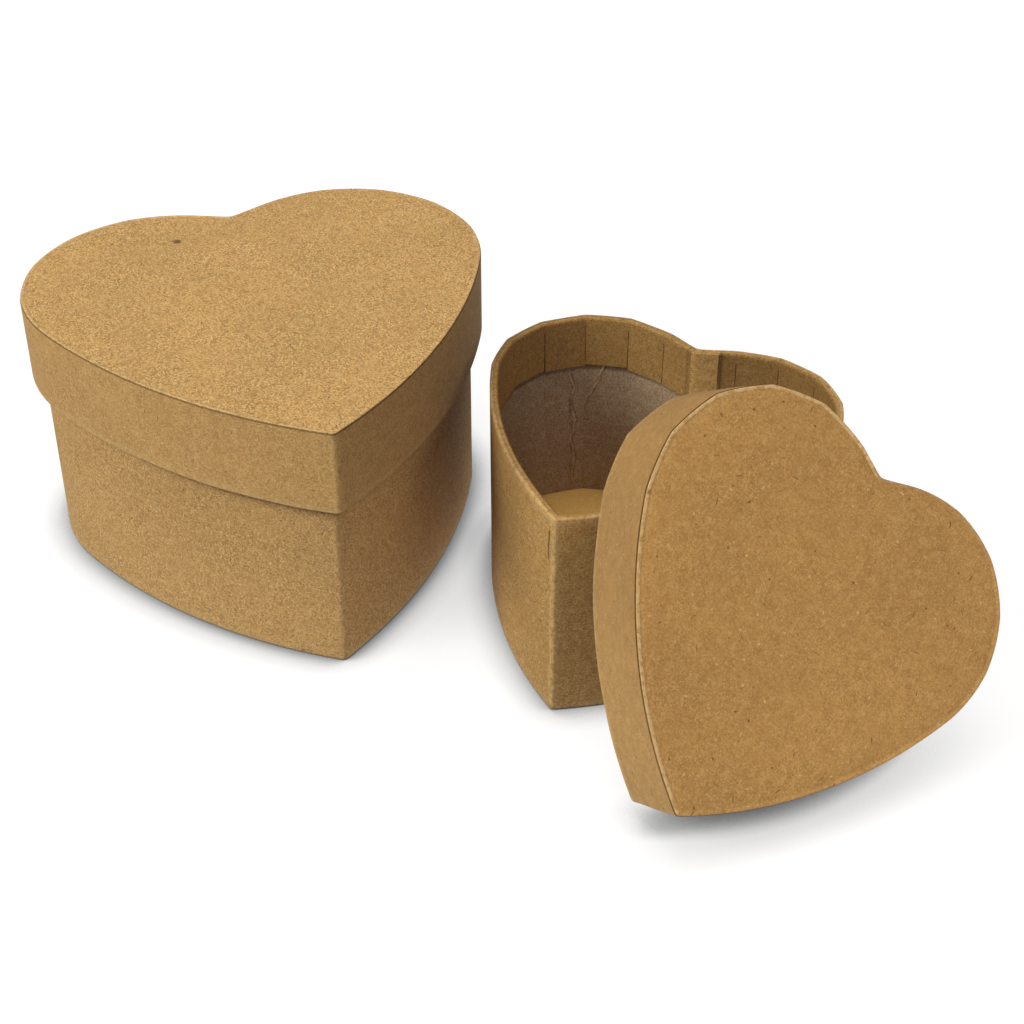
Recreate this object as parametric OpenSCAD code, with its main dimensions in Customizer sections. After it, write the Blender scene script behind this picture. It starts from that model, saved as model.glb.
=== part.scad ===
// Two heart-shaped craft boxes of board and kraft paper, each with a lift-off lid.
// The large box is closed. The small one stands open, and its lid leans on its side.
// The origin is on the surface that they stand on, under the middle of the large box's lobes.

/* [Large box] */
// Width of the large box across its lobes
large_w = 100; // [80:1:125]
// Radius of the large box's lobes
large_lobe_r = 28.8; // [26:0.2:31]
// Distance from the middle of the lobes to the point of the large box
large_point = 68.2; // [60:0.1:80]
// Height of the large box's body, without its lid
large_body_h = 60.2; // [40:0.1:90]
// Depth of the large lid's rim, from its top to its edge
large_rim_h = 20.3; // [16:0.1:30]

/* [Small box] */
// Width of the small box across its lobes
small_w = 80.2; // [70:0.2:88]
// Radius of the small box's lobes
small_lobe_r = 23.1; // [21:0.1:25.5]
// Distance from the middle of the lobes to the point of the small box
small_point = 54.7; // [50:0.1:64]
// Height of the small box's body, without its lid
small_body_h = 51.1; // [35:0.1:60]
// Depth of the small lid's rim, from its top to its edge
small_rim_h = 21; // [16:0.1:26]

/* [Heart outline] */
// Direction from a lobe's centre to where its straight flank to the cleft starts
flank_angle = 113.5; // [108:0.5:118]
// Direction from a lobe's centre to where the long side starts
side_angle = -22.8; // [-28:0.2:-16]
// Radius of the fold at the point
point_r = 1.2; // [0.6:0.1:2]

/* [Board and paper] */
// Thickness of the grey board in walls, bases and lids
board_t = 1.7; // [1:0.1:2.2]
// Thickness of the kraft paper
paper_t = 0.25; // [0.15:0.05:0.4]
// Gap between a body and its lid's rim, all round
lid_gap = 0.55; // [0.3:0.05:1]
// Height of the paper that is turned in over a body's rim
body_turn_in = 13; // [8:0.5:18]
// Height of the paper that is turned in under a lid's rim
lid_turn_in = 11; // [6:0.5:13]
// Width of the paper that is turned under a base or over a lid's board
turn_over = 7; // [4:0.5:9]
// Tabs that the turned-in paper is slit into round each lobe
lobe_tabs = 5; // [3:1:7]
// Width of each slit between two tabs
slit_w = 0.4; // [0.2:0.1:0.8]
// Gap between the ends of a wall or rim strip, in the cleft
butt_gap = 0.2; // [0.1:0.05:0.5]
// Distance that a base sheet or a top sheet stays back from the edge
sheet_inset = 0.4; // [0.2:0.1:1]
// Width of the tape inside the cleft, over the ends of the wall strip
tape_w = 9; // [6:0.5:12]

/* [Places] */
// Place of the small box, to the right of the large one
small_x = 76.8; // [76:0.2:110]
// Place of the small box, in front of the large one
small_y = -60; // [-90:0.5:-55]
// Turn of the small box about the vertical
small_turn = -46.2; // [-60:0.2:-30]
// Turn of the leaning lid from the small box's front to its side
lean_turn = 52.4; // [45:0.2:60]
// Tilt of the leaning lid's top from level
lean_tilt = 56.3; // [50:0.1:68]
// Turn of the leaning lid in its own plane
lean_roll = -49.2; // [-56:0.2:-42]
// Shift of the leaning lid along the side of the small box
lean_shift = 1.5; // [-8:0.1:8]
// Gap between the leaning lid and the rim that it rests on
rest_gap = 0.2; // [0.1:0.05:0.4]

/* [Hidden] */

board_colour = [0.56, 0.47, 0.36];
wrap_colour = [0.66, 0.50, 0.29];
sheet_colour = [0.72, 0.56, 0.33];
lining_colour = [0.42, 0.32, 0.20];

large_size = [large_w, large_lobe_r, large_point];
small_size = [small_w, small_lobe_r, small_point];

lobe_steps = 17;
side_steps = 9;
fold_steps = 3;
middle_clear = 0.3;
reach = 300;

// Depths of each layer inwards from the outside of a body
wall_in = -paper_t;
lining_in = wall_in - board_t;
turned_in = lining_in - paper_t;
taped_in = turned_in - paper_t;
// Heights of the layers of a base
turned_z = paper_t;
board_z = 2 * paper_t;
floor_z = board_z + board_t;
// Distances of each layer of a lid's rim outwards from the outside of a body
rim_in = lid_gap + paper_t;
rim_out = rim_in + board_t;
lid_out = rim_out + paper_t;
// Thickness of a lid's top, from its liner to its top sheet
lid_top_t = 3 * paper_t + board_t;

// ---- Heart outline ----

// Mirrored copy of half an outline, in the order that closes it
function mirrored(half) = [for (k = [len(half) - 1:-1:0]) if (half[k].x > 0) [-half[k].x, half[k].y]];

// Points on an arc from one angle to another
function arc(centre, r, from, to, steps) =
  [for (k = [0:steps]) let (a = from + (to - from) * k / steps) centre + r * [cos(a), sin(a)]];

// Heart of a box's size, moved outwards all round by d, with its point towards -Y.
// Each half is a straight flank from the cleft, a round lobe, a long flat arc and a small fold.
// The fold stays crisp on the lid's outer layers too, as board that is scored before it is bent.
function heart(size, d) =
  let (
    r = size[1],
    lobe = [size[0] / 2 - r, 0],
    flank = [cos(flank_angle), sin(flank_angle)],
    side = [cos(side_angle), sin(side_angle)],
    q = [-lobe.x, -size[2]],
    side_r = (q * q + r * r - 2 * r * (q * side)) / (2 * (r - q * side)),
    side_c = lobe - (side_r - r) * side,
    fold_r = point_r + min(d, 0),
    fold = [0, side_c.y - sqrt(pow(side_r + d - fold_r, 2) - side_c.x * side_c.x)],
    fold_angle = atan2(fold.y - side_c.y, fold.x - side_c.x),
    long_side = [
      for (p = arc(side_c, side_r + d, side_angle, fold_angle, side_steps)) if (p.x > middle_clear) p
    ],
    sharp = [0, side_c.y - sqrt(pow(side_r + d, 2) - side_c.x * side_c.x)],
    half = concat(
      [[0, (r + d + flank.x * lobe.x) / flank.y]],
      arc(lobe, r + d, flank_angle, side_angle, lobe_steps),
      [for (k = [1:len(long_side) - 1]) long_side[k]],
      fold_r > middle_clear ? arc(fold, fold_r, fold_angle, -90, fold_steps) : [sharp]
    )
  )
  concat(half, mirrored(half));

// A flat heart, or a band between two hearts
module sheet(size, d, thick) linear_extrude(thick) polygon(heart(size, d));
module band(size, outer, inner, h) linear_extrude(h) difference() {
  polygon(heart(size, outer));
  polygon(heart(size, inner));
}

// Slits between the tabs round both lobes, in paper that lies from r to r + depth off the centres
module slits(size, h, depth) {
  step = (flank_angle - side_angle) / lobe_tabs;
  for (side = [-1, 1], k = [1:lobe_tabs - 1])
    translate([side * (size[0] / 2 - size[1]), 0, 0])
      rotate([0, 0, 90 + side * (side_angle + k * step - 90)])
        translate([size[1] + lid_out - depth, -slit_w / 2, 0]) cube([depth, slit_w, h]);
}

// ---- Pieces of a body, standing on z = 0 ----

// Board strip bent to the heart, with its ends together in the cleft
module body_wall(size, h) difference() {
  translate([0, 0, board_z]) band(size, wall_in, lining_in, h - board_z - paper_t);
  translate([-butt_gap / 2, 0, 0]) cube([butt_gap, size[0], h]);
}

module base_board(size) translate([0, 0, board_z]) sheet(size, lining_in, board_t);

// Outer paper, turned under the base and in over the rim, where it is slit into tabs
module body_wrap(size, h) {
  translate([0, 0, turned_z]) band(size, 0, -turn_over, paper_t);
  translate([0, 0, turned_z]) band(size, 0, wall_in, h - turned_z);
  translate([0, 0, h - paper_t]) band(size, 0, taped_in, paper_t);
  difference() {
    translate([0, 0, h - body_turn_in]) band(size, turned_in, taped_in, body_turn_in);
    translate([0, 0, h - body_turn_in - 1])
      slits(size, body_turn_in + 1 - paper_t, lid_out - taped_in + 1);
  }
}

module body_lining(size, h) translate([0, 0, floor_z]) band(size, lining_in, turned_in, h - floor_z - paper_t);

module floor_liner(size) translate([0, 0, floor_z]) sheet(size, turned_in, paper_t);

// Sheet under the base, pressed up inside the turned-under edge
module base_paper(size) {
  sheet(size, -sheet_inset, paper_t);
  translate([0, 0, turned_z]) sheet(size, -turn_over, paper_t);
}

module cleft_tape(size, h) translate([0, 0, h - body_turn_in]) intersection() {
  band(size, taped_in, taped_in - paper_t, body_turn_in - paper_t);
  translate([-tape_w / 2, 0, 0]) cube([tape_w, size[0], h]);
}

// ---- Pieces of a lid, with its rim's edge on z = 0 ----

module lid_rim_board(size, h) difference() {
  translate([0, 0, paper_t]) band(size, rim_out, rim_in, h - 3 * paper_t);
  translate([-butt_gap / 2, 0, 0]) cube([butt_gap, size[0], h]);
}

module lid_top_board(size, h) translate([0, 0, h - 2 * paper_t - board_t]) sheet(size, rim_in, board_t);

// Rim paper, turned over the top board and in under the rim's edge, where it is slit into tabs
module lid_rim_wrap(size, h) {
  translate([0, 0, h - 2 * paper_t]) band(size, lid_out, lid_out - turn_over, paper_t);
  band(size, lid_out, rim_out, h - paper_t);
  band(size, lid_out, lid_gap, paper_t);
  difference() {
    band(size, rim_in, lid_gap, lid_turn_in);
    translate([0, 0, paper_t]) slits(size, lid_turn_in, lid_out - lid_gap + 1);
  }
}

// Sheet over the lid, pressed down inside the turned-over edge
module lid_top_sheet(size, h) {
  translate([0, 0, h - paper_t]) sheet(size, lid_out - sheet_inset, paper_t);
  translate([0, 0, h - 2 * paper_t]) sheet(size, lid_out - turn_over, paper_t);
}

module lid_liner(size, h) translate([0, 0, h - lid_top_t]) sheet(size, rim_in, paper_t);

// ---- Places of the four bodies ----

module on_large_body() children();
module on_large_lid() translate([0, 0, large_body_h + lid_top_t - large_rim_h]) children();
module on_small_body() translate([small_x, small_y, 0]) rotate([0, 0, small_turn]) children();

// The leaning lid stands on the lowest point of its rim's edge, and that edge lies on the rim of
// the small box. Its place is worked out in the small box's own frame.
out = [sin(lean_turn), -cos(lean_turn), 0];
along = [cos(lean_turn), sin(lean_turn), 0];
lean_x = cos(lean_roll) * along + sin(lean_roll) * (cos(lean_tilt) * -out + [0, 0, sin(lean_tilt)]);
lean_y = -sin(lean_roll) * along + cos(lean_roll) * (cos(lean_tilt) * -out + [0, 0, sin(lean_tilt)]);
lean_z = sin(lean_tilt) * out + [0, 0, cos(lean_tilt)];
lean_edge = heart(small_size, lid_out);
lean_height = -min([for (p = lean_edge) p.x * lean_x.z + p.y * lean_y.z]);

// Places in the lid's own frame of the points of the small box's rim, with the lid at a place
function seen_from_lid(place) = [
  for (p = heart(small_size, 0)) let (v = [p.x, p.y, small_body_h] - place) [v * lean_x, v * lean_y, v * lean_z]
];

function cross_2d(a, b) = a.x * b.y - a.y * b.x;

// Heights over the lid's edge at which a closed line of points crosses a flat outline
function crossings(line, outline) = [
  for (i = [0:len(line) - 1], j = [0:len(outline) - 1])
    let (
      a = line[i],
      b = line[(i + 1) % len(line)],
      c = outline[j],
      e = outline[(j + 1) % len(outline)],
      ab = [b.x - a.x, b.y - a.y],
      ce = e - c,
      ac = c - [a.x, a.y],
      turn = cross_2d(ab, ce)
    )
    if (turn != 0)
      let (s = cross_2d(ac, ce) / turn, t = cross_2d(ac, ab) / turn)
        if (s >= 0 && s < 1 && t >= 0 && t < 1) a.z + s * (b.z - a.z)
];

// Distance outwards at which the lid's edge just clears the rim, found in a few steps
settle_steps = 4;
function lean_place(away) = away * out + lean_shift * along + [0, 0, lean_height];
function settled(away, steps) =
  steps == 0 ? away :
  let (reached = max(concat(
    crossings(seen_from_lid(lean_place(away)), heart(small_size, lid_out)),
    crossings(seen_from_lid(lean_place(away)), heart(small_size, lid_gap))
  )))
  settled(away + (reached + rest_gap) / sin(lean_tilt), steps - 1);
lean_away = settled(small_w, settle_steps);

module on_small_lid() on_small_body()
  translate(lean_place(lean_away)) rotate([0, 0, lean_turn]) rotate([lean_tilt, 0, 0]) rotate([0, 0, lean_roll])
    children();

// ---- The two boxes ----

module large_body_wall() color(board_colour) on_large_body() body_wall(large_size, large_body_h);
module large_base_board() color(board_colour) on_large_body() base_board(large_size);
module large_body_wrap() color(wrap_colour) on_large_body() body_wrap(large_size, large_body_h);
module large_body_lining() color(lining_colour) on_large_body() body_lining(large_size, large_body_h);
module large_floor_liner() color(sheet_colour) on_large_body() floor_liner(large_size);
module large_base_paper() color(sheet_colour) on_large_body() base_paper(large_size);
module large_cleft_tape() color(wrap_colour) on_large_body() cleft_tape(large_size, large_body_h);
module large_lid_rim_board() color(board_colour) on_large_lid() lid_rim_board(large_size, large_rim_h);
module large_lid_top_board() color(board_colour) on_large_lid() lid_top_board(large_size, large_rim_h);
module large_lid_rim_wrap() color(wrap_colour) on_large_lid() lid_rim_wrap(large_size, large_rim_h);
module large_lid_top_sheet() color(sheet_colour) on_large_lid() lid_top_sheet(large_size, large_rim_h);
module large_lid_liner() color(sheet_colour) on_large_lid() lid_liner(large_size, large_rim_h);

module small_body_wall() color(board_colour) on_small_body() body_wall(small_size, small_body_h);
module small_base_board() color(board_colour) on_small_body() base_board(small_size);
module small_body_wrap() color(wrap_colour) on_small_body() body_wrap(small_size, small_body_h);
module small_body_lining() color(lining_colour) on_small_body() body_lining(small_size, small_body_h);
module small_floor_liner() color(sheet_colour) on_small_body() floor_liner(small_size);
module small_base_paper() color(sheet_colour) on_small_body() base_paper(small_size);
module small_cleft_tape() color(wrap_colour) on_small_body() cleft_tape(small_size, small_body_h);
module small_lid_rim_board() color(board_colour) on_small_lid() lid_rim_board(small_size, small_rim_h);
module small_lid_top_board() color(board_colour) on_small_lid() lid_top_board(small_size, small_rim_h);
module small_lid_rim_wrap() color(wrap_colour) on_small_lid() lid_rim_wrap(small_size, small_rim_h);
module small_lid_top_sheet() color(sheet_colour) on_small_lid() lid_top_sheet(small_size, small_rim_h);
module small_lid_liner() color(sheet_colour) on_small_lid() lid_liner(small_size, small_rim_h);

large_body_wall();
large_base_board();
large_body_wrap();
large_body_lining();
large_floor_liner();
large_base_paper();
large_cleft_tape();
large_lid_rim_board();
large_lid_top_board();
large_lid_rim_wrap();
large_lid_top_sheet();
large_lid_liner();
small_body_wall();
small_base_board();
small_body_wrap();
small_body_lining();
small_floor_liner();
small_base_paper();
small_cleft_tape();
small_lid_rim_board();
small_lid_top_board();
small_lid_rim_wrap();
small_lid_top_sheet();
small_lid_liner();
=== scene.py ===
"""Looks of two heart-shaped kraft paper boxes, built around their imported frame. Lengths are in metres."""

from math import cos, pi, radians, sin

import bmesh
import bpy
import numpy as np
from mathutils import Matrix, Vector


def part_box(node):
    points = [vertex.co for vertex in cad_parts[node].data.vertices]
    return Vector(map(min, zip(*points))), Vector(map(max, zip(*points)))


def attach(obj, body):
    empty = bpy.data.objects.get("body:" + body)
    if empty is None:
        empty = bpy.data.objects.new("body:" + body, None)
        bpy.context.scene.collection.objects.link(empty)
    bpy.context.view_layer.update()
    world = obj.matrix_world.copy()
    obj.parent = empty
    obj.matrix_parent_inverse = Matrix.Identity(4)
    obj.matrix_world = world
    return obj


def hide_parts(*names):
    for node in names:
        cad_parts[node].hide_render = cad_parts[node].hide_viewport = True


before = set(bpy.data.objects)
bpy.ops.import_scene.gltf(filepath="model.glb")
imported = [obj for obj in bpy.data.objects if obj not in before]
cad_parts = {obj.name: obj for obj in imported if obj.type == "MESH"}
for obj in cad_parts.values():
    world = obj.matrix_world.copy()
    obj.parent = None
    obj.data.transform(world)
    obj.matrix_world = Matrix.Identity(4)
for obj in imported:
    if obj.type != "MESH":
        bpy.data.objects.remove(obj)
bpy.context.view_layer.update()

MM = 0.001

# Board and paper, as in the solids: thicknesses, the gap between body and lid, how far the paper turns in at
# the body's rim and the lid's and over their flat faces, and how far the base's paper stays from the edge
PAPER = 0.25 * MM
BOARD = 1.7 * MM
LID_GAP = 0.55 * MM
BODY_TURN_IN = 13 * MM
LID_TURN_IN = 11 * MM
TURN_OVER = 7 * MM
SHEET_INSET = 0.4 * MM
# Finer than in the solids, as the photographed rims, seams and slits look: the walls' board,
# how near to the edge the lids' sheets reach, and the slits between tabs
WALL_BOARD = 1.1 * MM
TOP_INSET = 0.12 * MM
SLIT_W = 0.16 * MM
# Radius of a folded rim
RIM_R = 0.45 * MM
# The tape over the inside of the cleft: how far it reaches on the left lobe and on the right one
TAPE_FROM = 1.0 * MM
TAPE_TO = 5.2 * MM
# Distances of the layers outwards from the body's outer face, and heights of the inner faces
WALL_IN = -PAPER
LINING_IN = WALL_IN - WALL_BOARD
TURNED_IN = LINING_IN - PAPER
TAPED_IN = TURNED_IN - PAPER
RIM_IN = LID_GAP + PAPER
RIM_OUT = RIM_IN + BOARD
LID_OUT = RIM_OUT + PAPER
FLOOR_Z = 2 * PAPER + BOARD
LID_TOP = 3 * PAPER + BOARD

# Heart outline, as in the solids: where a lobe's arc starts by the cleft and ends on the side, the radius of
# the fold at the point, the tabs on a lobe and how soft the bend in the cleft is
FLANK_ANGLE = radians(113.5)
SIDE_ANGLE = radians(-22.8)
POINT_R = 1.2 * MM
LOBE_TABS = 5
CLEFT_SOFT = 0.7 * MM
# Samples on each stretch of half the outline
FLANK_STEPS = 15
LOBE_STEPS = 90
SIDE_STEPS = 60
FOLD_STEPS = 7
# A point near the middle of every heart, and the angle past which the edge between two faces stays crisp
MIDDLE = (0, -2 * MM)
CRISP = radians(40)

# Places, as in the solids: how far the small box is turned, and how its lid leans from there
SMALL_TURN = radians(-46.2)
LEAN_TURN = radians(52.4)
LEAN_TILT = radians(56.3)
LEAN_ROLL = radians(-49.2)


# ---- Heart outline ----

class Heart:
    """Samples round a heart, in order from the cleft by the right lobe, the point and the left lobe.

    point is how far the point lies below the lobes' centres.
    """

    # The stretches that a sample can be on
    FLANK, LOBE, SIDE, FOLD = range(4)

    def __init__(self, width, lobe_r, point):
        self.r = lobe_r
        self.lobe = np.array([width / 2 - lobe_r, 0])
        side = np.array([cos(SIDE_ANGLE), sin(SIDE_ANGLE)])
        q = np.array([-self.lobe[0], -point])
        self.side_r = (q @ q + lobe_r**2 - 2 * lobe_r * (q @ side)) / (2 * (lobe_r - q @ side))
        self.side_c = self.lobe - (self.side_r - lobe_r) * side
        # Kind and value of each sample of the right half, with two close ones at each slit between tabs
        half = SLIT_W / 2 / lobe_r
        slits = np.linspace(FLANK_ANGLE, SIDE_ANGLE, LOBE_TABS + 1)[:-1]
        slits[0] -= 4 * half
        angles = np.linspace(FLANK_ANGLE, SIDE_ANGLE, LOBE_STEPS)
        angles = [a for a in angles if np.abs(slits - a).min() > 1.6 * half]
        angles = np.array(sorted(angles + [a + k * half for a in slits for k in (-1, 1)], reverse=True))
        kinds, values = [], []
        for kind, vals in (
            (self.FLANK, np.linspace(0, 1, FLANK_STEPS + 1)[:-1]),
            (self.LOBE, angles),
            (self.SIDE, np.linspace(0, 1, SIDE_STEPS)[1:]),
            (self.FOLD, np.linspace(0, 1, FOLD_STEPS)[1:]),
        ):
            kinds += [kind] * len(vals)
            values += list(vals)
        n = len(kinds)
        order = list(range(n)) + list(range(n - 2, 0, -1))
        self.kind = np.array(kinds)[order]
        self.value = np.array(values)[order]
        self.sign = np.array([1] * n + [-1] * (n - 2))
        self.tip = n - 1
        self.n = len(order)
        ring = self.at(0.0)
        step = np.linalg.norm(np.roll(ring, -1, 0) - ring, axis=1)
        self.s = np.concatenate([[0], np.cumsum(step)])
        self.length = self.s[-1]
        # Distance of each sample from the cleft and past the point, in mm
        self.s_mm = self.s[:-1] / MM
        self.past_tip = self.s_mm - self.s_mm[self.tip]
        # Share of the way round
        self.u = self.s[:-1] / self.length
        # Each lobe is creased into a few flats: 0 at a crease, 1 half way between two
        across = (FLANK_ANGLE - self.value) / (FLANK_ANGLE - SIDE_ANGLE) * LOBE_TABS
        self.flat = np.where(self.kind == self.LOBE, 1 - (2 * (across % 1) - 1) ** 2, 0)
        self.slits = self._slit_columns()

    def _slit_columns(self):
        """Columns that a slit takes up: the gap between two close samples on a lobe."""
        lobes = self.kind == self.LOBE
        found = []
        for k in range(self.n - 1):
            both = lobes[k] and lobes[k + 1]
            if both and abs(abs(self.value[k] - self.value[k + 1]) * self.r - SLIT_W) < 0.02 * SLIT_W:
                found.append(k)
        return found

    def at(self, d):
        """Points of the outline moved outwards by d, which may differ from sample to sample."""
        d = np.broadcast_to(d, np.shape(d)[:-1] + (self.n,)) if np.ndim(d) else np.full(self.n, d)
        flank = np.array([cos(FLANK_ANGLE), sin(FLANK_ANGLE)])
        v = self.value
        # The two flanks meet in the cleft, with a soft bend there
        cleft_y = (self.r + d + flank[0] * self.lobe[0]) / flank[1]
        end_x = self.lobe[0] + (self.r + d) * flank[0]
        slope = ((self.r + d) * flank[1] - cleft_y) / end_x
        x = end_x * v
        y = cleft_y + slope * np.sqrt(x**2 + CLEFT_SOFT**2)
        on = self.kind == self.LOBE
        x = np.where(on, self.lobe[0] + (self.r + d) * np.cos(v), x)
        y = np.where(on, (self.r + d) * np.sin(v), y)
        # The side ends where the fold starts, or on the middle line where the fold has no radius left
        fold_r = np.maximum(POINT_R + np.minimum(d, 0), 0)
        fold_y = self.side_c[1] - np.sqrt((self.side_r + d - fold_r) ** 2 - self.side_c[0] ** 2)
        end = np.arctan2(fold_y - self.side_c[1], -self.side_c[0])
        on = self.kind == self.SIDE
        angle = SIDE_ANGLE + (end - SIDE_ANGLE) * v
        x = np.where(on, self.side_c[0] + (self.side_r + d) * np.cos(angle), x)
        y = np.where(on, self.side_c[1] + (self.side_r + d) * np.sin(angle), y)
        on = self.kind == self.FOLD
        angle = end + (-pi / 2 - end) * v
        x = np.where(on, fold_r * np.cos(angle), x)
        y = np.where(on, fold_y + fold_r * np.sin(angle), y)
        x = np.where(np.arange(self.n) == self.tip, 0, x)
        return np.stack([x * self.sign, y], -1)


def ripples(u, v, seed, count=7, around=(2, 9), up=1.3):
    """A smooth random relief from -1 to 1 that closes round the outline; u and v run from 0 to 1."""
    rng = np.random.default_rng(seed)
    total = np.zeros(np.broadcast(u, v).shape)
    size = 0
    for _ in range(count):
        n = rng.integers(*around)
        m = rng.uniform(-up, up)
        a = rng.uniform(0.5, 1) / n**0.5
        total = total + a * np.sin(2 * pi * (n * u + m * v + rng.uniform()))
        size += a
    return total / size * 1.6


def rise(value, start, end):
    """0 before start, 1 past end and even between them; it falls where end is the smaller."""
    return np.clip((value - start) / (end - start), 0, 1)


class Form:
    """A heart with the dents and flats that the board of one body or lid has.

    flats are the depths of the right lobe's flats and the left one's, waves is the depth of the dents, and
    rubbed is how pale the fold at the point is.
    """

    def __init__(self, heart, height, seed, flats, waves, rubbed=0.3):
        self.heart, self.height, self.seed, self.waves, self.rubbed = heart, height, seed, waves, rubbed
        right, left = flats
        self.flats = np.where(heart.sign > 0, right, left)

    def relief(self, z):
        """Distance outwards at each height and sample; it is never more than 0."""
        wave = np.clip(ripples(self.heart.u, z[:, None] / self.height, self.seed), -1, 1) - 1
        return 0.5 * self.waves * wave - self.flats * self.heart.flat

    def edge(self, depth):
        """Uneven height of a cut or folded edge, from -depth to 0."""
        wave = ripples(self.heart.u, 0.3, self.seed + 50, 9, (2, 22))
        return 0.5 * depth * (np.clip(wave, -1, 1) - 1)


# ---- Meshes ----

def build(name, verts, faces, loops_uv, marks, material):
    """A mesh object in its box's own frame, with a UV map in metres and named marks on its points."""
    mesh = bpy.data.meshes.new(name)
    mesh.from_pydata([tuple(p) for p in verts], [], faces)
    uv = mesh.uv_layers.new(name="paper")
    uv.data.foreach_set("uv", np.asarray(loops_uv, np.float32).ravel())
    for key, values in marks.items():
        layer = mesh.attributes.new(key, "FLOAT", "POINT")
        layer.data.foreach_set("value", np.asarray(values, np.float32).ravel())
    bm = bmesh.new()
    bm.from_mesh(mesh)
    bmesh.ops.remove_doubles(bm, verts=bm.verts, dist=1e-6)
    bmesh.ops.dissolve_degenerate(bm, edges=bm.edges, dist=1e-7)
    bmesh.ops.recalc_face_normals(bm, faces=bm.faces)
    bm.to_mesh(mesh)
    bm.free()
    for p in mesh.polygons:
        p.use_smooth = True
    mesh.set_sharp_from_angle(angle=CRISP)
    mesh.materials.append(material)
    obj = bpy.data.objects.new(name, mesh)
    bpy.context.scene.collection.objects.link(obj)
    return obj


def swept(name, rows, heart, along, marks, material, slit=None):
    """A closed shell swept round a heart. rows[j, i] is point j of the section at sample i.

    slit gives the first and last point of the section between which the heart's slits cut it open.
    """
    m, n = rows.shape[:2]
    faces, uvs = [], []
    s = heart.s

    def vert(j, i):
        return (j % m) * n + i % n

    def face(corners, coords):
        faces.append([vert(j, i) for j, i in corners])
        uvs.extend(coords)

    first, last = slit or (0, 0)
    cuts = heart.slits if slit else []
    for i in range(n):
        for j in range(m):
            if i in cuts and first <= j < last:
                continue
            corners = [(j, i), (j, i + 1), (j + 1, i + 1), (j + 1, i)]
            face(corners, [(s[b], along[a]) for a, b in corners])
    # Each slit gets two side walls and a floor
    for i in cuts:
        for k in (i, i + 1):
            a, b = first, last
            while b - a > 1:
                step = [(j, k) for j in sorted({a, a + 1, b - 1, b})]
                face(step, [(s[k], along[a])] * len(step))
                a, b = a + 1, b - 1
        face([(first, i), (first, i + 1), (last, i + 1), (last, i)], [(s[i], along[first])] * 4)
    return build(name, rows.reshape(-1, 3), faces, uvs,
                 {key: np.broadcast_to(v, (m, n)) for key, v in marks.items()}, material)


def plate(name, heart, rings, side, material):
    """A closed flat piece. Each ring is its distance outwards, its height, its share of the way out from the
    middle, its worn mark and its painted shade; side multiplies worn round the outline."""
    middle = np.array(MIDDLE)
    rows = np.array([
        np.column_stack([middle + share * (heart.at(d) - middle), np.broadcast_to(z, heart.n)])
        for d, z, share, _, _ in rings
    ])
    m, n = rows.shape[:2]
    faces, uvs = [], []
    for j in range(m - 1):
        for i in range(n):
            i2 = (i + 1) % n
            corners = [(j, i), (j, i2), (j + 1, i2), (j + 1, i)]
            faces.append([a * n + b for a, b in corners])
            uvs.extend(rows[a, b, :2] for a, b in corners)
    worn, painted_shade = (np.array(column)[:, None] for column in list(zip(*rings))[3:])
    marks = {"worn": worn * side, "painted_shade": np.broadcast_to(painted_shade, (m, n))}
    return build(name, rows.reshape(-1, 3), faces, uvs, marks, material)


def section(parts):
    """One closed section from stretches of points (outwards, up), each with its marks."""
    pts, worn, painted_shade = (np.array(column) for column in zip(*[(p, w, c) for pts, w, c in parts for p in pts]))
    step = np.linalg.norm(np.roll(pts, -1, 0) - pts, axis=1)
    return pts, worn, painted_shade, np.concatenate([[0], np.cumsum(step)])


def line(a, b, count):
    """Points from a to b."""
    return [(a[0] + (b[0] - a[0]) * k, a[1] + (b[1] - a[1]) * k) for k in np.linspace(0, 1, count)]


def bend(centre, r, start, end, count):
    """Points on a small arc of a section; angles are in degrees."""
    return [(centre[0] + r * cos(radians(a)), centre[1] + r * sin(radians(a)))
            for a in np.linspace(start, end, count)]


def swept_piece(name, form, parts, material, slit=None, shape=None, painted_shading=None):
    """Sweeps a section round a form, with its relief, any extra shape(pts, d, z) and any painted shade that a
    function of the points adds.
    """
    pts, worn, painted_shade, along = section(parts)
    heart = form.heart
    d = pts[:, :1] + form.relief(pts[:, 1])
    z = np.broadcast_to(pts[:, 1:], d.shape).copy()
    if shape:
        d, z = shape(pts, d, z)
    rows = np.dstack([heart.at(d), z])
    rubbed = form.rubbed * np.exp(-((heart.past_tip / 0.8) ** 2))
    marks = {"worn": np.maximum(worn[:, None], rubbed), "painted_shade": painted_shade[:, None] + (painted_shading(pts) if painted_shading else 0)}
    return swept(name, rows, heart, along, marks, material, slit)


# ---- Materials ----

def node_maker(tree):
    """A function that adds a node to a tree, with settings by name and inputs that are values or sockets."""
    def node(kind, inputs=(), **settings):
        n = tree.nodes.new(kind)
        for key, v in settings.items():
            setattr(n, key, v)
        for key, v in dict(inputs).items():
            if isinstance(v, bpy.types.NodeSocket):
                tree.links.new(v, n.inputs[key])
            else:
                n.inputs[key].default_value = v
        return n

    return node


def shader(name):
    """An empty material, and the function that adds nodes to it."""
    m = bpy.data.materials.new(name)
    m.use_nodes = True
    m.node_tree.nodes.clear()
    return m, node_maker(m.node_tree)


def pushed(node, vector, scale, detail, amount):
    """A vector that noise pushes aside, so that lines drawn on it are bent."""
    noise = node("ShaderNodeTexNoise", {"Vector": vector, "Scale": scale, "Detail": detail},
                 noise_dimensions="2D").outputs["Color"]
    centred = node("ShaderNodeVectorMath", {0: noise, 1: (0.5, 0.5, 0.5)}, operation="SUBTRACT")
    sized = node("ShaderNodeVectorMath", {0: centred.outputs[0], "Scale": amount}, operation="SCALE")
    return node("ShaderNodeVectorMath", {0: vector, 1: sized.outputs[0]}, operation="ADD").outputs[0]


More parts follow.
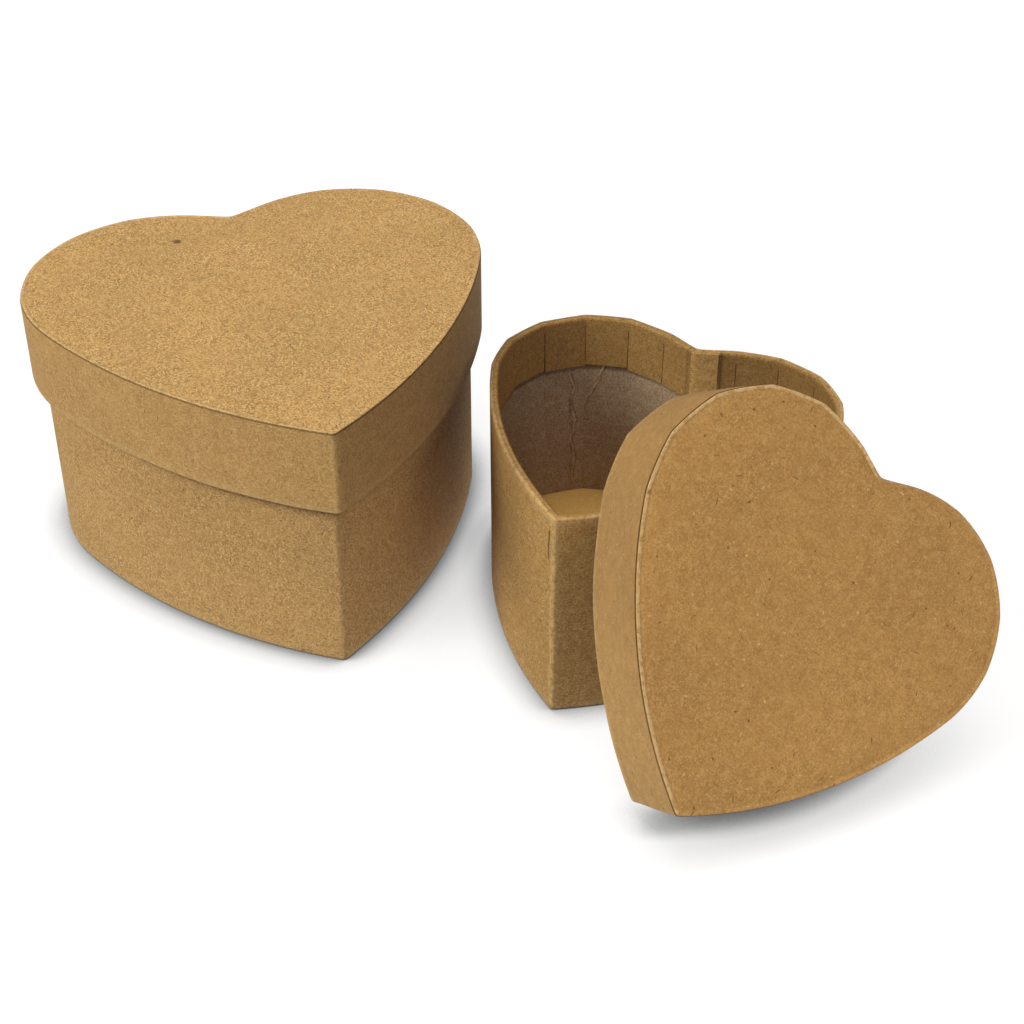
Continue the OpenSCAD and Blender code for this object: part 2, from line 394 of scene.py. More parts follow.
def fibre_group():
    """Node group that turns paper coordinates in metres into masks of short fibres and specks."""
    g = bpy.data.node_groups.new("kraft_fibres", "ShaderNodeTree")
    g.interface.new_socket("Vector", in_out="INPUT", socket_type="NodeSocketVector")
    for out in ("Dark", "Light", "Speck", "Fleck"):
        g.interface.new_socket(out, in_out="OUTPUT", socket_type="NodeSocketFloat")
    node = node_maker(g)
    paper = node("NodeGroupInput").outputs["Vector"]
    bent = pushed(node, paper, 420, 1, 0.45 * MM)
    rough = pushed(node, paper, 1900, 1, 0.35 * MM)

    def marks(vector, cell, length, width, share, shift):
        """One mark in a share of cells, all sizes in mm: a line, or a blot where it's as wide as long."""
        cell, length, width = cell * MM, length * MM, width * MM
        placed = node("ShaderNodeVectorMath", {0: vector, 1: (1 / cell,) * 3, 2: (shift, shift * 0.7, 0)},
                      operation="MULTIPLY_ADD").outputs[0]
        cells = node("ShaderNodeTexVoronoi", {"Vector": placed, "Scale": 1}, voronoi_dimensions="2D")
        rgb = node("ShaderNodeSeparateColor", {"Color": cells.outputs["Color"]})
        away = node("ShaderNodeVectorMath", {0: placed, 1: cells.outputs["Position"]}, operation="SUBTRACT")
        turn = node("ShaderNodeMath", {0: rgb.outputs[0], 1: 2 * pi}, operation="MULTIPLY")
        turned = node("ShaderNodeVectorRotate", {"Vector": away.outputs[0], "Angle": turn.outputs[0]},
                      rotation_type="Z_AXIS")
        xyz = node("ShaderNodeSeparateXYZ", {"Vector": turned.outputs[0]})
        chosen = {"Value": rgb.outputs[1], "From Min": share, "From Max": share * 0.2}
        mask = node("ShaderNodeMapRange", chosen).outputs[0]
        for socket, size in ((0, length / 2 / cell), (1, width / 2 / cell)):
            near = node("ShaderNodeMath", {0: xyz.outputs[socket]}, operation="ABSOLUTE")
            soft = node("ShaderNodeMapRange",
                        {"Value": near.outputs[0], "From Min": size * 1.5, "From Max": size * 0.5},
                        interpolation_type="SMOOTHSTEP")
            mask = node("ShaderNodeMath", {0: mask, 1: soft.outputs[0]}, operation="MULTIPLY").outputs[0]
        return mask

    def either(a, b):
        return node("ShaderNodeMath", {0: a, 1: b}, operation="MAXIMUM").outputs[0]

    dark = either(marks(bent, 0.7, 0.6, 0.19, 0.9, 0.0), marks(bent, 1.15, 1.0, 0.17, 0.6, 31.7))
    node("NodeGroupOutput", {
        "Dark": either(dark, marks(rough, 1.7, 0.42, 0.36, 0.5, 71.3)),
        "Light": either(marks(bent, 0.66, 0.55, 0.2, 0.9, 57.3), marks(bent, 1.1, 0.9, 0.18, 0.6, 83.9)),
        "Speck": either(marks(rough, 5.0, 0.5, 0.34, 0.35, 11.1), marks(bent, 6.5, 1.25, 0.2, 0.35, 19.4)),
        "Fleck": marks(rough, 4.2, 0.5, 0.34, 0.45, 43.2),
    })
    return g


FIBRES = fibre_group()


def kraft(name, base, contrast, fibres, rough=0.85, shift=0.0, worn_gain=0.5, specks=1.0, grain_by=1.0,
          relief=0.04, sheen=0.06, blots=(), folds=()):
    """Kraft paper: mottled pulp with short light and dark fibres and a few specks.

    contrast is how mottled it is, fibres how many of them show, and shift moves its pattern away from the
    other papers'. grain_by weakens the finest grain, worn_gain is how pale rubbed edges are, relief is in mm.
    """
    m, node = shader(name)
    uv = node("ShaderNodeUVMap", uv_map="paper").outputs["UV"]
    placed = node("ShaderNodeVectorMath", {0: uv, 1: (shift, shift * 1.7, 0)}, operation="ADD").outputs[0]

    def pulp(scale, detail):
        return node("ShaderNodeTexNoise",
                    {"Vector": placed, "Scale": scale, "Detail": detail, "Roughness": 0.6},
                    noise_dimensions="2D").outputs["Fac"]

    def ramp(value, low, high, a=0.0, b=1.0):
        return node("ShaderNodeMapRange",
                    {"Value": value, "From Min": low, "From Max": high, "To Min": a, "To Max": b},
                    interpolation_type="SMOOTHSTEP").outputs[0]

    def maths(op, a, b):
        return node("ShaderNodeMath", {0: a, 1: b}, operation=op).outputs[0]

    def tint(fac, over, under):
        """A colour laid over a socket or a colour by a factor; 6, 7 and 2 are the node's colour sockets."""
        under = under if isinstance(under, bpy.types.NodeSocket) else (*under, 1)
        return node("ShaderNodeMix", {0: fac, 6: under, 7: (*over, 1)}, data_type="RGBA").outputs[2]

    def scaled(k, plus=0.0):
        """The paper's colour, darker and redder below 1, lighter and creamier above it."""
        warm = (1.08, 0.98, 0.86) if k < 1 else (0.88, 1.02, 1.25)
        return [min(1, c * k * w + plus) for c, w in zip(base, warm)]

    def near_line(at, start, end, wide):
        """1 on a short line between two points in mm, falling to 0 at its half width."""
        a, b = Vector((*start, 0)) * MM, Vector((*end, 0)) * MM
        way = b - a
        off = node("ShaderNodeVectorMath", {0: at, 1: tuple(a)}, operation="SUBTRACT").outputs[0]
        share = node("ShaderNodeVectorMath", {0: off, 1: tuple(way / way.length_squared)},
                     operation="DOT_PRODUCT")
        held = node("ShaderNodeClamp", {"Value": share.outputs["Value"]})
        back = node("ShaderNodeVectorMath", {0: tuple(-way), "Scale": held.outputs[0]}, operation="SCALE")
        left = node("ShaderNodeVectorMath", {0: off, 1: back.outputs[0]}, operation="ADD")
        gap = node("ShaderNodeVectorMath", {0: left.outputs[0]}, operation="LENGTH")
        return ramp(gap.outputs["Value"], wide * MM, 0.3 * wide * MM)

    wavy = pushed(node, uv, 420, 2, 1.1 * MM)
    wavy = node("ShaderNodeVectorMath", {0: wavy, 1: (1, 1, 0)}, operation="MULTIPLY").outputs[0]
    # Wide mottling, then clouds, pale patches, grain and the finest grain, at noise scales per metre: where
    # each sets in and is full, how strong it is, and its colour
    mottled = 0.06 * contrast
    colour = tint(ramp(pulp(30, 3), 0.32, 0.68), [c * (1 + mottled) for c in base],
                  [c * (1 - mottled) for c in base])
    grain, fine = pulp(1900, 2), pulp(4200, 1)
    for value, none, full, share, over in (
        (pulp(330, 3), 0.42, 0.66, 0.30 * contrast, scaled(0.68)),
        (pulp(520, 2), 0.50, 0.70, 0.30 * contrast, scaled(1.35, 0.01)),
        (grain, 0.50, 0.70, 0.42 * contrast * grain_by, scaled(0.5)),
        (grain, 0.48, 0.30, 0.34 * contrast * grain_by, scaled(1.5, 0.015)),
        (fine, 0.52, 0.72, 0.5 * fibres * grain_by, scaled(0.5)),
        (fine, 0.46, 0.28, 0.4 * fibres * grain_by, scaled(1.5, 0.02)),
    ):
        colour = tint(ramp(value, none, full, 0, share), over, colour)
    dark, light, speck, fleck = node("ShaderNodeGroup", {"Vector": placed}, node_tree=FIBRES).outputs
    patchy = ramp(pulp(95, 2), 0.35, 0.62, 0.7, 1)
    for mask, share, over in (
        (maths("MULTIPLY", dark, patchy), 0.8 * fibres, scaled(0.45)),
        (maths("MULTIPLY", light, patchy), 0.75 * fibres, scaled(1.6, 0.03)),
        (fleck, 0.55 * specks, scaled(1.6, 0.1)),
        (speck, 0.72 * specks, scaled(0.28)),
    ):
        colour = tint(maths("MULTIPLY", mask, share), over, colour)
    # Edges that hands have rubbed pale, and painted shade where seams, turned-in paper, recesses and shaded
    # sides are darkened
    worn = node("ShaderNodeAttribute", attribute_name="worn").outputs["Fac"]
    rub = maths("MULTIPLY", maths("MULTIPLY", ramp(pulp(700, 4), 0.34, 0.62, 0.15, 1), worn), worn_gain)
    colour = tint(rub, scaled(1.5, 0.08), colour)
    painted_shade = node("ShaderNodeAttribute", attribute_name="painted_shade").outputs["Fac"]
    colour = tint(painted_shade, scaled(0.14), colour)
    for u, v, wide, tall, dark_by in blots:
        off = node("ShaderNodeVectorMath", {0: wavy, 1: (u * MM, v * MM, 0)}, operation="SUBTRACT")
        parts = node("ShaderNodeSeparateXYZ", {"Vector": off.outputs[0]}).outputs
        mask = maths("MULTIPLY", ramp(maths("ABSOLUTE", parts[0], 0), wide * MM, 0.5 * wide * MM),
                     ramp(maths("ABSOLUTE", parts[1], 0), tall * MM, 0.7 * tall * MM))
        colour = tint(maths("MULTIPLY", mask, dark_by), scaled(0.2), colour)
    fold_height = 0.0
    broken = ramp(pulp(260, 2), 0.36, 0.56, 0.25, 1)
    # Each fold gets painted shade at its foot and a painted highlight on its ridge, which the bump also
    # raises
    for points, wide, light_by, dark_by in folds:
        ridge, valley = 0.0, 0.0
        for start, end in zip(points, points[1:]):
            ridge = maths("MAXIMUM", ridge, near_line(wavy, start, end, wide))
            foot = [(u + wide, v) for u, v in (start, end)]
            valley = maths("MAXIMUM", valley, near_line(wavy, *foot, wide))
        colour = tint(maths("MULTIPLY", valley, dark_by), scaled(0.3), colour)
        ridge = maths("MULTIPLY", ridge, broken)
        colour = tint(maths("MULTIPLY", ridge, light_by), [min(1, 1.7 * c) for c in base], colour)
        fold_height = maths("MAXIMUM", fold_height, ridge)
    fibre_height = maths("SUBTRACT", light, maths("MULTIPLY", dark, 0.6))
    height = maths("ADD", maths("MULTIPLY", grain, 0.8), fibre_height)
    height = maths("ADD", height, maths("MULTIPLY", maths("MULTIPLY", worn, pulp(900, 3)), 4))
    height = maths("ADD", height, maths("MULTIPLY", fold_height, 6))
    soft = node("ShaderNodeBump", {"Strength": 0.5, "Distance": 0.22 * MM, "Height": pulp(210, 3)})
    bump = node("ShaderNodeBump", {"Strength": 0.5, "Distance": relief * MM, "Height": height,
                                   "Normal": soft.outputs[0]})
    bsdf = node("ShaderNodeBsdfPrincipled", {
        "Base Color": colour, "Roughness": ramp(pulp(650, 3), 0.3, 0.7, rough - 0.07, rough + 0.07),
        "Specular IOR Level": 0.25, "Sheen Weight": sheen, "Sheen Roughness": 0.6, "Normal": bump.outputs[0],
    })
    node("ShaderNodeOutputMaterial", {"Surface": bsdf.outputs[0]})
    return m


# A blot on a paper, in mm: where along and up it, half width, half height, and its darkness
LID_SPECK = (-14.5, 17.0, 1.15, 0.85, 0.85)
# Folds in a paper: points along and up it in mm, half width, and how light the painted highlight on the ridge
# and how dark the painted shade at its foot are
POINT_FOLDS = [
    ([(125.1, 53.6), (125.5, 50.5), (125.3, 46.6)], 0.42, 0.0, 0.85),
    ([(124.6, 56.0), (124.5, 50), (124.7, 46), (124.2, 39), (124.8, 33), (124.3, 24), (124.4, 12)],
     0.4, 0.45, 0.0),
    ([(126.6, 49), (126.2, 44.5), (125.2, 40.5)], 0.3, 0.35, 0.2),
]
LINING_FOLDS = [
    ([(213.2, 34), (214.6, 30), (213.6, 26), (215.0, 21), (214.0, 16), (214.9, 10), (214.4, 4)],
     0.38, 0.7, 0.6),
    ([(222.0, 36), (220.8, 32), (219.6, 29.5), (217.2, 25)], 0.36, 0.7, 0.5),
    ([(219.8, 30.5), (222.6, 27.5), (223.2, 24)], 0.32, 0.5, 0.4),
    ([(213.4, 37), (213.1, 33)], 0.25, 0.3, 0.3),
]

papers = {
    "large_rim": kraft("large_rim_paper", (0.615, 0.346, 0.115), 1.15, 0.7, shift=6.1, worn_gain=0.6,
                       grain_by=0.7, relief=0.08),
    "small_rim": kraft("small_rim_paper", (0.575, 0.320, 0.105), 1.1, 0.35, shift=7.3, worn_gain=0.9,
                       grain_by=0.3),
    "large_top": kraft("large_top_paper", (0.625, 0.366, 0.127), 1.4, 1.35, shift=0.31, worn_gain=0.45,
                       specks=1.2, grain_by=0.55, relief=0.06, blots=[LID_SPECK]),
    "large_wrap": kraft("large_wrap_paper", (0.62, 0.346, 0.115), 1.2, 1.15, shift=0.77, worn_gain=0.6,
                        specks=1.2, grain_by=0.7, relief=0.1),
    "small_top": kraft("small_top_paper", (0.61, 0.322, 0.094), 1.2, 0.62, shift=1.43, worn_gain=1.1,
                       specks=1.3, grain_by=0.4),
    "small_wrap": kraft("small_wrap_paper", (0.53, 0.294, 0.093), 1.6, 0.95, shift=2.09, worn_gain=0.9,
                        specks=1.1, grain_by=0.6, relief=0.06, sheen=0.0, folds=POINT_FOLDS),
    "lining": kraft("lining_paper", (0.45, 0.32, 0.21), 1.5, 0.6, shift=2.71, specks=0.5, sheen=0.0,
                    folds=LINING_FOLDS),
    "floor": kraft("floor_paper", (0.69, 0.425, 0.122), 0.45, 0.25, shift=3.33, specks=0.5),
    "under": kraft("under_paper", (0.56, 0.32, 0.11), 0.9, 0.7, shift=4.05),
    "board": kraft("grey_board", (0.30, 0.24, 0.17), 0.8, 0.4, rough=0.92, shift=5.2),
}


# ---- What bodies and lids share ----

def points_in(parts):
    """How many points stretches of a section have."""
    return sum(len(stretch) for stretch, _, _ in parts)


def tab_offsets(heart, seed, lean, lift):
    """How far each tab leans inwards and how far its end is moved up, at each sample, from ranges in mm."""
    rng = np.random.default_rng(seed)
    tabs = np.zeros(heart.n, int)
    tabs[[k + 1 for k in heart.slits]] = 1
    tabs = np.cumsum(tabs)
    return [rng.uniform(low, high, tabs.max() + 1)[tabs] * MM for low, high in (lean, lift)]


def turned_in(at, up, ragged, slit, depth, offsets):
    """The shape(pts, d, z) of a wrap that is folded in at a height: a ragged edge, and tabs with offsets.

    up is 1 where that edge is the top one and -1 where it's the bottom one, slit is the first and last point
    of the tabs, and depth is how far they reach.
    """
    first, last = slit
    lean, lift = offsets

    def shape(pts, d, z):
        z = z + up * rise(up * (z - at), -3 * MM, 0) * ragged
        k = np.arange(len(pts))[:, None]
        on_tab = (k >= first) & (k <= last)
        share = rise(up * (at - pts[:, 1:]), 0, depth)
        return d - np.where(on_tab, share**2 * lean, 0), z + np.where(on_tab, share**4 * lift, 0)

    return shape


def dress(piece, node):
    """Hides the solid that a piece stands in for."""
    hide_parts(node)
    return piece


# ---- Pieces of a body ----

# The painted shadow that the large lid's edge casts on the body: height from that edge in mm, and darkness.
# The last rows only carry the wall on upwards
LID_SHADOW = ((-4.6, 0), (-3.6, 0.08), (-2.7, 0.2), (-2.15, 0.5), (-1.4, 0.6), (-0.8, 0.25), (0.4, 0.06), (2, 0),
         (8, 0), (13, 0))


def body_pieces(key, form, h, tab_seed, lid_edge=None):
    """The seven pieces of a body that stands on z = 0; lid_edge is the height of its closed lid's edge."""
    heart, t, r = form.heart, PAPER, RIM_R
    inner_r = 0.65 * MM
    s = heart.s_mm
    wall_up = line((0, t + r), (0, h - r), 26)[1:-1]
    lid_shadow = []
    if lid_edge:
        wall_up = [p for p in wall_up if p[1] < lid_edge - 5 * MM]
        lid_shadow = [([(0, lid_edge + MM * k)], 0, dark) for k, dark in LID_SHADOW]
    rim_in = bend((TAPED_IN + inner_r, h - inner_r), inner_r, 90, 180, 6)
    # Stretches of the section with their worn marks and painted shade: what shows, the tabs' two faces, and
    # the back.
    # The rim's inner shoulder and the tabs' faces get painted shade
    seen = [
        (line((-TURN_OVER, t), (-r - t, t), 5), 0, 0),
        (bend((-r, t + r), r, -90, 0, 4), 0.35, 0),
        (wall_up, 0, 0),
        *lid_shadow,
        (bend((-r, h - r), r, 0, 90, 5), 0.7, 0),
        ([(-1.2 * r, h - 0.01 * MM)], 0.9, 0),
        ([(-1.7 * r, h - 0.01 * MM)], 0.2, 0.1),
        (rim_in[:2], 0.1, 0.2),
        (rim_in[2:], 0, 0.3),
    ]
    tab = [
        (line((TAPED_IN, h - inner_r), (TAPED_IN, h - BODY_TURN_IN), 8)[1:], 0.1, 0.3),
        (line((TURNED_IN, h - BODY_TURN_IN), (TURNED_IN, h - r), 8), 0, 0.3),
    ]
    back = [
        ([(TURNED_IN, h - 2 * t), (WALL_IN, h - t)], 0, 0),
        (line((WALL_IN, h - 3 * t), (WALL_IN, 2 * t), 16), 0, 0),
        (line((WALL_IN - r, 2 * t), (-TURN_OVER, 2 * t), 4), 0, 0),
    ]
    first_tab = points_in(seen)
    last_tab = first_tab + points_in(tab) - 1

    def painted_shading(pts):
        """Painted shade on the turned-in paper beyond the tape, painted shadow lines by the tape's edges, the
        large box's painted shadow on the outside of the left wall, and a little over all the outside.
        """
        k = np.arange(len(pts))[:, None]
        on_tab = (k >= first_tab - len(rim_in[2:])) & (k <= last_tab)
        outside = k < first_tab - len(rim_in)
        left_wall = rise(s, 132, 144) * rise(pts[:, 1:], 12 * MM, 26 * MM)
        from_tape = s - TAPE_TO / MM
        to_tape = s - (heart.length - TAPE_FROM) / MM
        beyond = rise(from_tape, 0, 0.3) * rise(s, 90, 70)
        by_tape = np.exp(-(((from_tape - 0.3) / 0.35) ** 2)) + np.exp(-(((to_tape + 0.4) / 0.3) ** 2))
        return on_tab * (0.2 * beyond + 0.4 * by_tape) + outside * (0.05 + 0.3 * left_wall)

    offsets = tab_offsets(heart, tab_seed, (0.05, 0.45), (-0.3, 0.5))
    shape = turned_in(h, 1, form.edge(0.25 * MM), (first_tab, last_tab), BODY_TURN_IN, offsets)
    wrap = swept_piece(f"{key}_wrap", form, seen + tab + back, papers[f"{key}_wrap"],
                       (first_tab, last_tab), shape, painted_shading if key == "small" else None)

    lining_rows = 44
    band = h - BODY_TURN_IN

    def lining_painted_shade(_):
        """Painted shade on the left wall's lining."""
        return 0.16 * rise(s, 150, 160) * rise(s, 212, 198)

    def creased(pts, d, z):
        face = (np.arange(len(pts)) < lining_rows)[:, None]
        return d - np.where(face, lining_creases(form, z[:, 0], key), 0), z

    lining = swept_piece(f"{key}_lining", form, [
        (line((TURNED_IN, FLOOR_Z), (TURNED_IN, band - 1.3 * MM), lining_rows), 0, 0),
        # Painted shadow under the turned-in band's lower edge
        ([(TURNED_IN, band - 0.7 * MM), (TURNED_IN, band), (TURNED_IN, h - 3 * t)], 0, 0.55),
        (line((LINING_IN, h - 3 * t), (LINING_IN, FLOOR_Z), 12), 0, 0),
    ], papers["lining"], shape=creased, painted_shading=lining_painted_shade if key == "small" else None)
    wall = swept_piece(f"{key}_wall_board", form, [
        (line((WALL_IN, 2 * t), (WALL_IN, h - 2 * t), 12), 0, 0),
        (line((LINING_IN, h - 3 * t), (LINING_IN, 2 * t), 12), 0, 0),
    ], papers["board"])
    base = sheet_piece(f"{key}_base", form, LINING_IN, 2 * t, FLOOR_Z, papers["board"], 0)
    liner = sheet_piece(f"{key}_floor", form, TURNED_IN, FLOOR_Z, FLOOR_Z + t, papers["floor"], 0.08 * MM)
    under_sheet = sheet_piece(f"{key}_under", form, -SHEET_INSET, 0, t, papers["under"], 0)
    tape = cleft_strip(f"{key}_tape", form, h, papers[f"{key}_wrap"])
    return [
        dress(wrap, f"{key}_body_wrap"),
        dress(lining, f"{key}_body_lining"),
        dress(wall, f"{key}_body_wall"),
        dress(base, f"{key}_base_board"),
        dress(liner, f"{key}_floor_liner"),
        dress(under_sheet, f"{key}_base_paper"),
        dress(tape, f"{key}_cleft_tape"),
    ]


def lining_creases(form, z, key):
    """Height inwards of the creases in a lining, at each height and sample."""
    s = form.heart.s[:-1]
    z = z[:, None]
    total = 0.10 * MM * (1 + ripples(form.heart.u, z / form.height, form.seed + 9, 12, (6, 40), 4))
    for points, high, wide in CREASES.get(key, []):
        for (s0, z0), (s1, z1) in zip(points, points[1:]):
            s0, z0, s1, z1 = (v * MM for v in (s0, z0, s1, z1))
            ds, dz = s1 - s0, z1 - z0
            t = np.clip(((s - s0) * ds + (z - z0) * dz) / (ds * ds + dz * dz), 0, 1)
            away = np.hypot(s - s0 - t * ds, z - z0 - t * dz)
            total = np.maximum(total, high * MM * np.exp(-((away / (wide * MM)) ** 2)))
    # A faint ridge over each fold of the board
    for k in form.heart.slits:
        ridge = 0.22 * MM * (0.4 + 0.6 * np.sin(7 * k + 90 * z / MM / 40) ** 2)
        away = s - form.heart.s[k] - 0.5 * MM * np.sin(z / (6 * MM) + k)
        total = np.maximum(total, ridge * np.exp(-((away / (0.6 * MM)) ** 2)))
    return total * rise(form.height - BODY_TURN_IN - z, 0, 1.5 * MM)


# Creases in each lining: points (distance round from the cleft, height), ridge height and width, in mm
CREASES = {
    "small": [
        ([(213.6, 39), (214.4, 33), (213.8, 27), (214.8, 19), (214.3, 12), (214.9, 5)], 0.6, 0.42),
        ([(221.4, 40), (220.6, 35.5), (219.2, 31.5), (216.6, 27.5)], 0.5, 0.38),
        ([(219.6, 33), (222.2, 30), (223.0, 27)], 0.3, 0.35),
        ([(201.5, 30), (202.3, 22), (201.8, 16)], 0.3, 0.5),
        ([(32, 34), (33.2, 24), (32.4, 12)], 0.4, 0.45),
    ],
    "large": [
        ([(40, 40), (41, 28), (40.2, 14)], 0.4, 0.45),
        ([(262, 38), (263.4, 26), (262.6, 9)], 0.4, 0.45),
    ],
}


def sheet_piece(name, form, out, low, high, material, wave, worn=0.0, painted_shade=0.0):
    """A flat heart between two heights that waves a little, with a soft top edge; out is its reach."""
    heart = form.heart
    edge = out + form.relief(np.array([high]))[0]
    soft = min(0.1 * MM, (high - low) * 0.4)
    # Near its edge a sheet is pressed down a little, and the edge itself curls up and is rubbed
    sag = min(0.07 * MM, wave)
    rings = []
    for share in (0, *np.linspace(0.04, 0.94, 18)):
        bulge = wave * share * (1 - share) * 3 * ripples(heart.u, share, form.seed + 3, 6, (1, 5), 2)
        rings.append((edge, high + bulge, share, 0, 0))
    for inset, drop, rub in ((1.7 * MM, 0, 0), (1.2 * MM, sag, 0), (0.85 * MM, sag, 0.1),
                             (0.7 * MM, sag * 0.4, 1), (0.25 * MM, 0, 1), (soft, 0, 0.8)):
        rings.append((edge - inset, high - drop, 1, rub * worn, 0))
    # The side face below the edge gets painted shade, the seam's painted shadow
    for inset, drop, dark in ((0.3 * soft, 0.3 * soft, 0), (0, soft, painted_shade), (0, high - low, painted_shade)):
        rings.append((edge - inset, high - drop, 1, 0 if dark else 0.5 * worn, dark))
    rings += [(edge, low, share, 0, 0) for share in (0.9, 0.5, 0)]
    # Partly wear, partly painted highlight: the pale edge is full on the left side, where the window light
    # falls, and faint on the right
    side = np.where(np.arange(heart.n) > heart.tip, 1, 0.12)
    return plate(name, heart, rings, side, material)


def cleft_strip(name, form, h, material):
    """The strip of tape over the inside of the cleft, from the rim to the turned-in paper's edge."""
    heart = form.heart
    z = np.linspace(h - PAPER, h - BODY_TURN_IN, 10)
    ring = heart.at(TAPED_IN + form.relief(z))
    inner = heart.at(TAPED_IN - PAPER + form.relief(z))
    x, y = ring[0].T
    half = heart.n // 2
    cols = [i for i in range(half, heart.n) if -x[i] <= TAPE_FROM and y[i] > 0]
    cols += [i for i in range(half) if x[i] <= TAPE_TO and y[i] > 0]
    m, n = len(z), len(cols)
    verts = [(*layer[j, i], z[j]) for layer in (inner, ring) for j in range(m) for i in cols]
    across = np.concatenate([[0], np.cumsum(np.linalg.norm(np.diff(ring[0, cols], axis=0), axis=1))])
    faces, uvs = [], []

    def quad(*corners):
        faces.append([(side * m + j) * n + i for side, j, i in corners])
        uvs.extend((across[i], z[j]) for _, j, i in corners)

    for side in (0, 1):
        for j in range(m - 1):
            for i in range(n - 1):
                quad((side, j, i), (side, j, i + 1), (side, j + 1, i + 1), (side, j + 1, i))
    for j in range(m - 1):
        for i in (0, n - 1):
            quad((0, j, i), (1, j, i), (1, j + 1, i), (0, j + 1, i))
    for i in range(n - 1):
        for j in (0, m - 1):
            quad((0, j, i), (1, j, i), (1, j, i + 1), (0, j, i + 1))
    return build(name, verts, faces, uvs, {"worn": np.full(len(verts), 0.3), "painted_shade": np.zeros(len(verts))},
                 material)


# ---- Pieces of a lid ----

def lid_pieces(key, form, h, tab_seed):
    """The five pieces of a lid whose rim's edge is on z = 0 and whose top is at z = h."""
    heart, t, r = form.heart, PAPER, RIM_R
    past = heart.past_tip
    top = h - t
    sharp = 0.2 * MM
    # Darkness of the painted shadow in the seam round the top sheet
    seam_shade = 0.7 if key == "large" else 0.85
    corner = bend((LID_OUT - sharp, top - sharp), sharp, 50, 0, 4)
    # Stretches of the section with their worn marks and painted shade, as in a body: the seam's painted
    # shadow round the top sheet's edge, and painted shade on the tabs' faces
    seen = [
        (line((LID_OUT - TURN_OVER, top), (LID_OUT - TOP_INSET - r, top), 4), 0, 0),
        ([(LID_OUT - TOP_INSET - 0.05 * MM, top - 0.01 * MM)], 0, seam_shade),
        (corner[:3], 0, seam_shade),
        (corner[3:], 0, 0.5 * seam_shade),
        (line((LID_OUT, top - 0.4 * MM), (LID_OUT, r), 14)[:-1], 0, 0),
        (bend((LID_OUT - r, r), r, 0, -90, 4), 0.7, 0),
        (bend((LID_GAP + r, r), r, -90, -180, 4), 0.5, 0),
    ]
    tab = [
        (line((LID_GAP, r), (LID_GAP, LID_TURN_IN), 7)[1:], 0.1, 0.2),
        (line((RIM_IN, LID_TURN_IN), (RIM_IN, r), 7), 0, 0),
    ]
    back = [
        ([(RIM_IN, t), (RIM_OUT, t)], 0, 0),
        (line((RIM_OUT, 3 * t), (RIM_OUT, h - 2 * t), 10), 0, 0),
        (line((RIM_OUT - r, h - 2 * t), (LID_OUT - TURN_OVER, h - 2 * t), 3), 0, 0),
    ]
    first_tab = points_in(seen)
    last_tab = first_tab + points_in(tab) - 1

    def painted_shading(_):
        """Painted shade: on the large lid's right side, before its point, and on a stretch of the small lid's
        rim past its point.
        """
        if key == "large":
            return 0.15 * rise(-past, 0, 2) * rise(-past, 90, 50)
        return 0.23 * rise(past, 13, 39) * rise(past, 120, 105)

    offsets = tab_offsets(heart, tab_seed, (0.0, 0.15), (-0.4, 0.4))
    shape = turned_in(0, -1, form.edge(0.3 * MM), (first_tab, last_tab), LID_TURN_IN, offsets)
    wrap = swept_piece(f"{key}_lid_wrap", form, seen + tab + back, papers[f"{key}_rim"],
                       (first_tab, last_tab), shape, painted_shading)
    rim = swept_piece(f"{key}_lid_rim", form, [
        (line((RIM_OUT, t), (RIM_OUT, h - 2 * t), 10), 0, 0),
        (line((RIM_IN, h - 2 * t), (RIM_IN, t), 10), 0, 0),
    ], papers["board"])
    board = sheet_piece(f"{key}_lid_board", form, RIM_IN, h - 2 * t - BOARD, h - 2 * t, papers["board"], 0)
    top_sheet = sheet_piece(f"{key}_lid_top", form, LID_OUT - TOP_INSET, h - t, h, papers[f"{key}_top"],
                            0.12 * MM, worn=1.0, painted_shade=0.7 * seam_shade)
    liner = sheet_piece(f"{key}_lid_inside", form, RIM_IN, h - LID_TOP, h - LID_TOP + t, papers["under"], 0)
    return [
        dress(wrap, f"{key}_lid_rim_wrap"),
        dress(rim, f"{key}_lid_rim_board"),
        dress(board, f"{key}_lid_top_board"),
        dress(top_sheet, f"{key}_lid_top_sheet"),
        dress(liner, f"{key}_lid_liner"),
    ]


# ---- The two boxes, where the solids are ----

def own_frame(node, turn, heart, out, low_z=0.0):
    """Where a box's own frame is, from a swept solid of it that reaches out from its heart by out."""
    co = np.array([v.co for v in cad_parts[node].data.vertices])
    local = co @ np.array(turn.to_3x3())
    x = (local[:, 0].min() + local[:, 0].max()) / 2
    y = local[:, 1].max() - heart.r - out
    z = local[:, 2].min() - low_z
    return Matrix.Translation(turn.to_3x3() @ Vector((x, y, z))) @ turn


def settle(pieces, place, body):
    """Moves a box's pieces from their own frame to their place, on the body that carries them."""
    for piece in pieces:
        piece.matrix_world = place
        piece.data.transform(place)
        piece.matrix_world = Matrix.Identity(4)
        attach(piece, body)


large_heart = Heart(100 * MM, 28.8 * MM, 68.2 * MM)
small_heart = Heart(80.2 * MM, 23.1 * MM, 54.7 * MM)

large_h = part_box("large_body_wrap")[1].z
small_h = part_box("small_body_wrap")[1].z
large_rim_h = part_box("large_lid_top_sheet")[1].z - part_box("large_lid_rim_wrap")[0].z
small_rim_h = 21 * MM

still = Matrix.Identity(4)
small_turn = Matrix.Rotation(SMALL_TURN, 4, "Z")
lean = small_turn @ Matrix.Rotation(LEAN_TURN, 4, "Z") @ Matrix.Rotation(LEAN_TILT, 4, "X") \
    @ Matrix.Rotation(LEAN_ROLL, 4, "Z")

